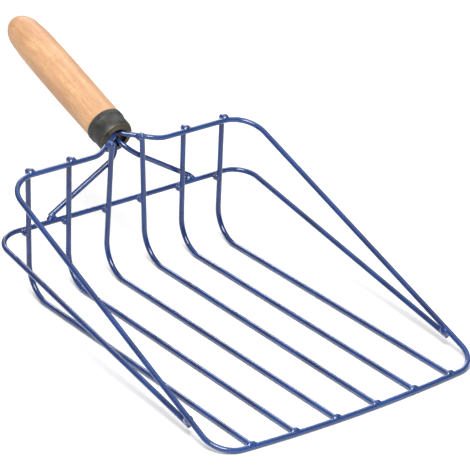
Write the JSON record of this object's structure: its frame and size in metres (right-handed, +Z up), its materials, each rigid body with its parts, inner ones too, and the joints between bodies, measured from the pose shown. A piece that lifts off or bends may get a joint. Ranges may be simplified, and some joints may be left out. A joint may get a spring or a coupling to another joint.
{
  "type": "beach sand scoop",
  "caption": "Hand sieve scoop for beach finds: an open basket of welded blue coated wire with a bowed mouth, braced to a short turned wooden grip through a steel ferrule",
  "frame": {"origin": "on the floor under the middle of the whole scoop's bounding box", "axes": "+Z up, X across the basket, +Y towards the grip, so the open mouth faces -Y"},
  "size_m": [0.234, 0.4504, 0.1616],
  "materials": {
    "rim_wire": "glossy blue dipped coating on steel wire",
    "mid_wire": "glossy blue dipped coating on steel wire",
    "rib_1": "glossy blue dipped coating on steel wire",
    "rib_2": "glossy blue dipped coating on steel wire",
    "rib_3": "glossy blue dipped coating on steel wire",
    "rib_4": "glossy blue dipped coating on steel wire",
    "rib_5": "glossy blue dipped coating on steel wire",
    "rib_6": "glossy blue dipped coating on steel wire",
    "brace_left": "glossy blue dipped coating on steel wire",
    "brace_right": "glossy blue dipped coating on steel wire",
    "rib_top_welds": "weld beads under the same blue coating",
    "rib_mid_welds": "weld beads under the same blue coating",
    "rib_front_welds": "weld beads under the same blue coating",
    "brace_welds": "weld beads under the same blue coating",
    "mid_end_welds": "weld beads under the same blue coating",
    "ferrule": "dark aged steel with a worn olive lip",
    "handle": "light beech, smooth turned, thin clear coat"
  },
  "bodies": {
    "root": {"rim_wire": "rim_wire", "mid_wire": "mid_wire", "rib_1": "rib_1", "rib_2": "rib_2", "rib_3": "rib_3", "rib_4": "rib_4", "rib_5": "rib_5", "rib_6": "rib_6", "brace_left": "brace_left", "brace_right": "brace_right", "rib_top_welds": "rib_top_welds", "rib_mid_welds": "rib_mid_welds", "rib_front_welds": "rib_front_welds", "brace_welds": "brace_welds", "mid_end_welds": "mid_end_welds", "ferrule": "ferrule", "handle": "handle"}
  },
  "joints": []
}
